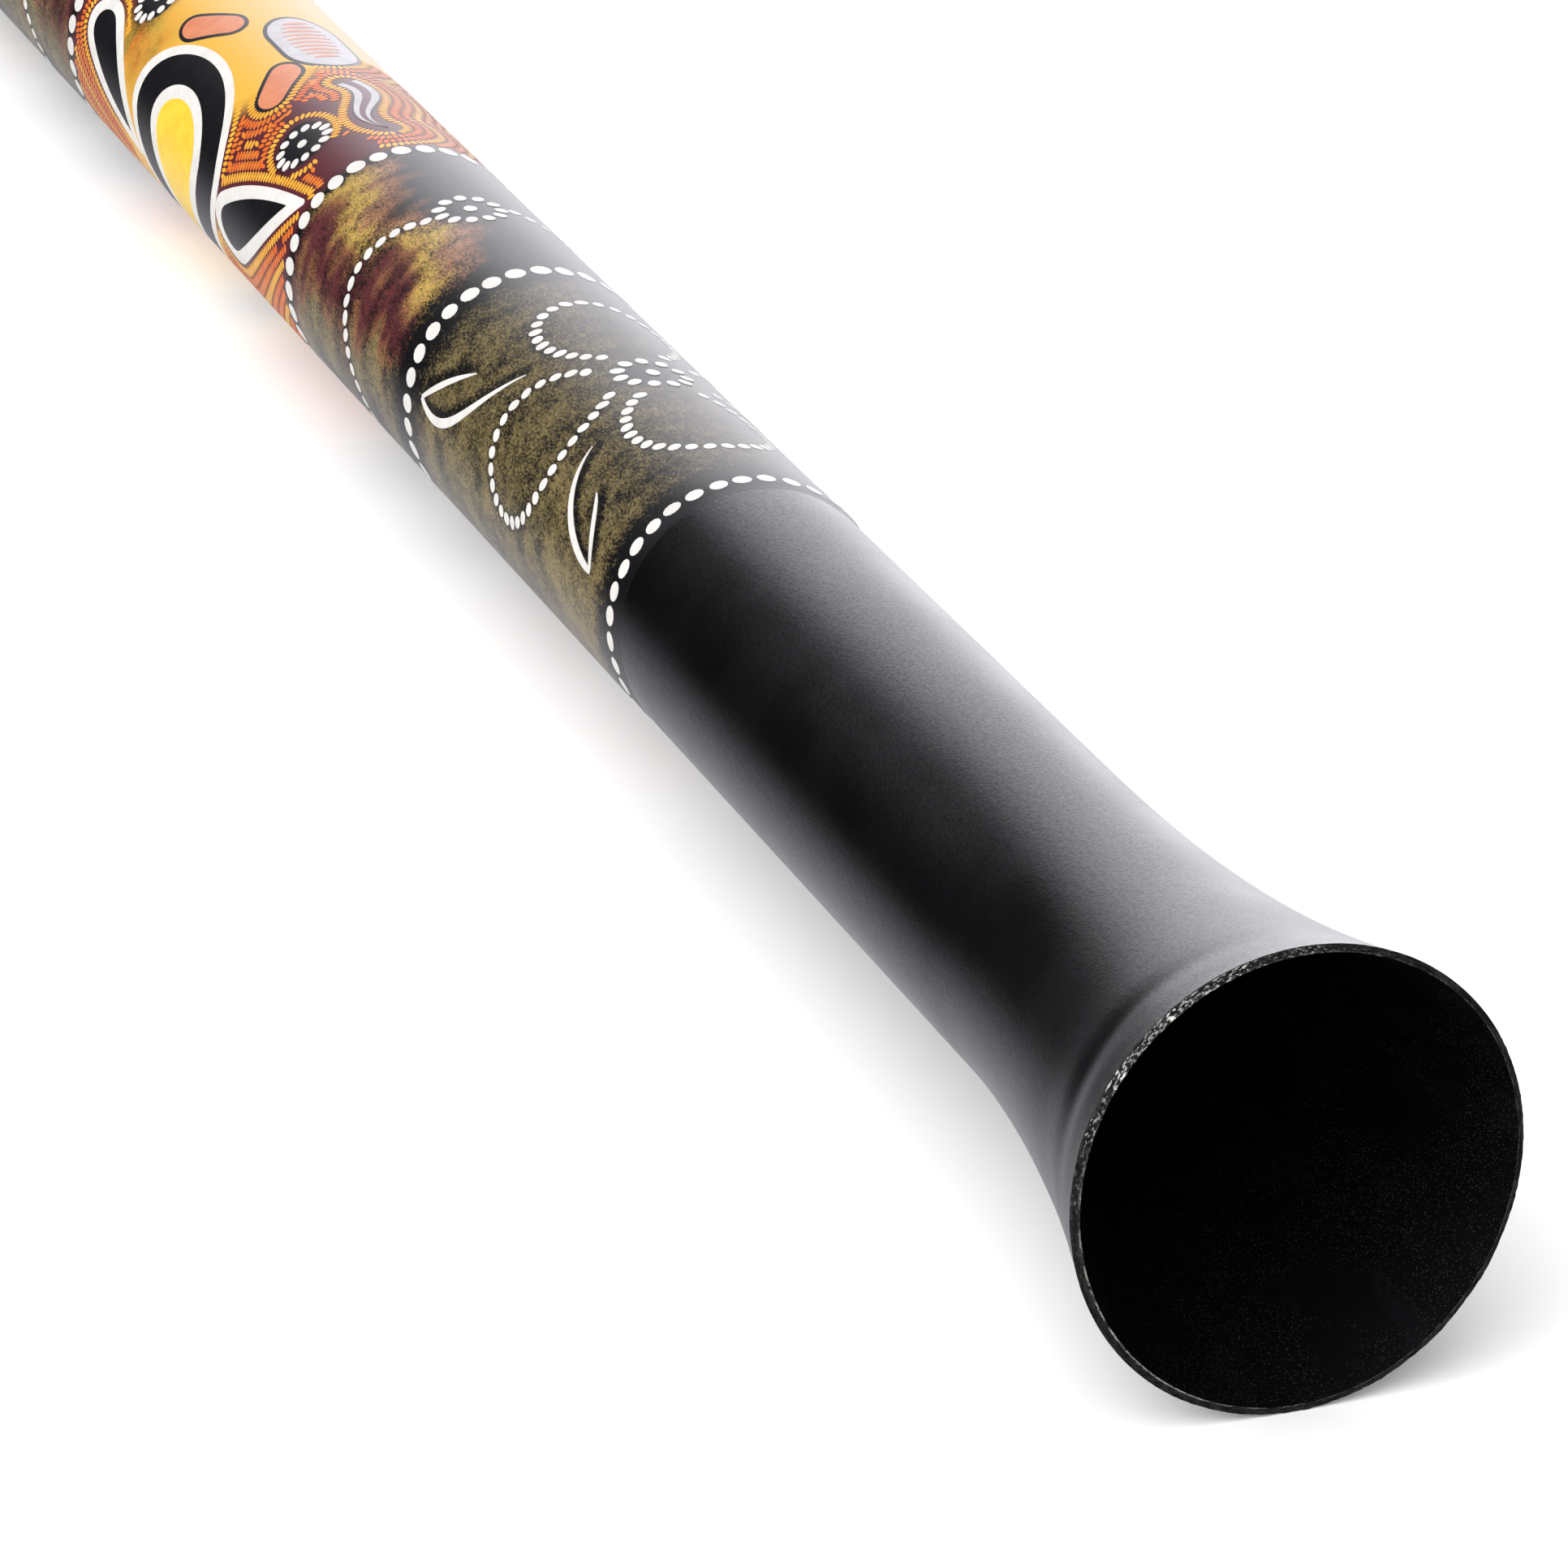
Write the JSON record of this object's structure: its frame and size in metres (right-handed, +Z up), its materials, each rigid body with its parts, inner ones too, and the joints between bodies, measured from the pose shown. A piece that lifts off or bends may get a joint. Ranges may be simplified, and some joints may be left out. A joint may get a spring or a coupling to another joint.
{
  "type": "didgeridoo",
  "caption": "Straight pipe didgeridoo with a flared black bell, a dot-patterned printed film round the pipe and a rounded plug-in mouthpiece.",
  "frame": {"origin": "on the floor plane under the middle of the instrument's length: the centre of the bounding box's underside", "axes": "+Y along the bore from the bell rim to the mouthpiece, +Z up with the instrument lying down, +X to the right when looking along +Y"},
  "size_m": [0.0748, 1.27, 0.0782],
  "materials": {
    "black_painted_pipe": "satin black paint on hand-formed plastic pipe",
    "printed_film": "satin shrink film with a printed dot pattern",
    "mouthpiece_rubber": "smooth soft black rubber"
  },
  "bodies": {
    "root": {"pipe_with_flared_bell": "black_painted_pipe", "printed_film": "printed_film", "mouthpiece": "mouthpiece_rubber"}
  },
  "joints": []
}
